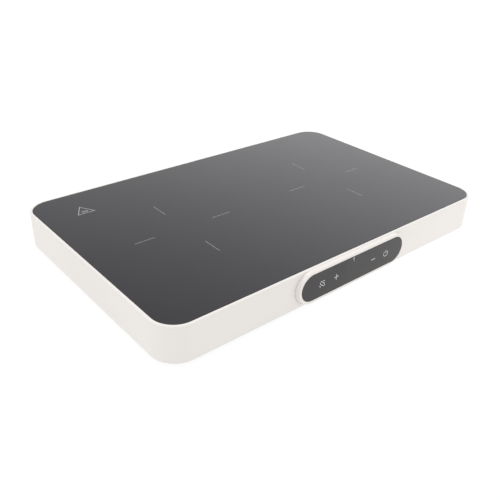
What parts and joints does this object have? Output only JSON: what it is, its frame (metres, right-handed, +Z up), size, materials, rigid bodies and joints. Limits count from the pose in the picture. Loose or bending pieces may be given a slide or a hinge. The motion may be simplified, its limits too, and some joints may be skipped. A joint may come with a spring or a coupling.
{
  "type": "electric induction cooktop",
  "caption": "Flat free-standing induction cooktop: a cream casing with a black glass top, two cooking zones, and an oval touch-control pod on the front edge.",
  "frame": {"origin": "on the table under the middle of the cooktop, where the feet stand", "axes": "+X to the right along the long side, +Y to the rear, away from the control pod, +Z up"},
  "size_m": [0.6, 0.397, 0.058],
  "materials": {
    "housing_plastic": "fine satin texture, warm white moulding",
    "pan_plastic": "spark-eroded matte grey moulding",
    "black_glass": "polished black glass-ceramic, opaque, printed with grey marks",
    "silicone_seal": "matte grey silicone",
    "foot_rubber": "matte black rubber",
    "gland_rubber": "matte black rubber",
    "screw_steel": "zinc-plated steel",
    "spring_steel": "drawn spring wire",
    "lens_plastic": "glossy smoke-black window",
    "black_plastic": "matte black moulding",
    "circuit_board": "green solder mask over glass-fibre board",
    "display_body": "white reflector",
    "terminal_plastic": "off-white nylon",
    "capacitor_case": "yellow box capacitor",
    "ferrite": "sintered ferrite, dark grey",
    "fuse_ceramic": "white ceramic tube with plated caps",
    "wire_insulation": "red silicone insulation",
    "cable_jacket": "grey flexible jacket",
    "lead_sleeve": "braided glass-fibre sleeve",
    "tray_aluminium": "mill-finish sheet",
    "former_plastic": "heat-resistant dark moulding",
    "copper_wire": "enamelled stranded copper wire",
    "mica": "pressed mica sheet",
    "sensor_body": "white ceramic button",
    "heat_sink_aluminium": "extruded aluminium",
    "bearing_bronze": "sintered bronze sleeve",
    "stator_steel": "stacked steel sheets with enamel"
  },
  "bodies": {
    "casing": {"base_pan": "pan_plastic", "board_screws": "screw_steel", "buzzer": "black_plastic", "cable_gland": "gland_rubber", "choke_left": "ferrite", "choke_right": "ferrite", "coil_former_left": "former_plastic", "coil_former_right": "former_plastic", "coil_leads_left": "lead_sleeve", "coil_leads_right": "lead_sleeve", "coil_tray_left": "tray_aluminium", "coil_tray_right": "tray_aluminium", "coil_winding_left": "copper_wire", "coil_winding_right": "copper_wire", "control_cable": "cable_jacket", "control_lens": "lens_plastic", "display_module": "display_body", "fan_bearing_left": "bearing_bronze", "fan_bearing_right": "bearing_bronze", "fan_frame_left": "black_plastic", "fan_frame_right": "black_plastic", "fan_screws": "screw_steel", "fan_stator_left": "stator_steel", "fan_stator_right": "stator_steel", "ferrite_bars_left": "ferrite", "ferrite_bars_right": "ferrite", "film_capacitors_left": "capacitor_case", "film_capacitors_right": "capacitor_case", "filter_board": "circuit_board", "filter_capacitor": "capacitor_case", "filter_choke": "ferrite", "foot_front_left": "foot_rubber", "foot_front_right": "foot_rubber", "foot_rear_left": "foot_rubber", "foot_rear_right": "foot_rubber", "fuse": "fuse_ceramic", "glass_plate": "black_glass", "glass_seal": "silicone_seal", "glass_sensor_left": "sensor_body", "glass_sensor_right": "sensor_body", "heat_sink_left": "heat_sink_aluminium", "heat_sink_right": "heat_sink_aluminium", "housing_screws": "screw_steel", "mains_leads": "wire_insulation", "mica_sheet_left": "mica", "mica_sheet_right": "mica", "power_board_left": "circuit_board", "power_board_right": "circuit_board", "power_transistors_left": "black_plastic", "power_transistors_right": "black_plastic", "sensor_spring_left": "spring_steel", "sensor_spring_right": "spring_steel", "terminal_block": "terminal_plastic", "touch_board": "circuit_board", "touch_carrier": "black_plastic", "touch_springs": "spring_steel", "tray_screws": "screw_steel", "upper_housing": "housing_plastic"},
    "fan_left": {"fan_rotor_left": "black_plastic"},
    "fan_right": {"fan_rotor_right": "black_plastic"}
  },
  "joints": [
    {"name": "fan_left_spin", "type": "hinge", "parent": "casing", "child": "fan_left", "pos_m": [-0.212, 0.136, 0.018], "axis": [0, 0, 1], "continuous": true},
    {"name": "fan_right_spin", "type": "hinge", "parent": "casing", "child": "fan_right", "pos_m": [0.212, 0.136, 0.018], "axis": [0, 0, 1], "continuous": true}
  ]
}
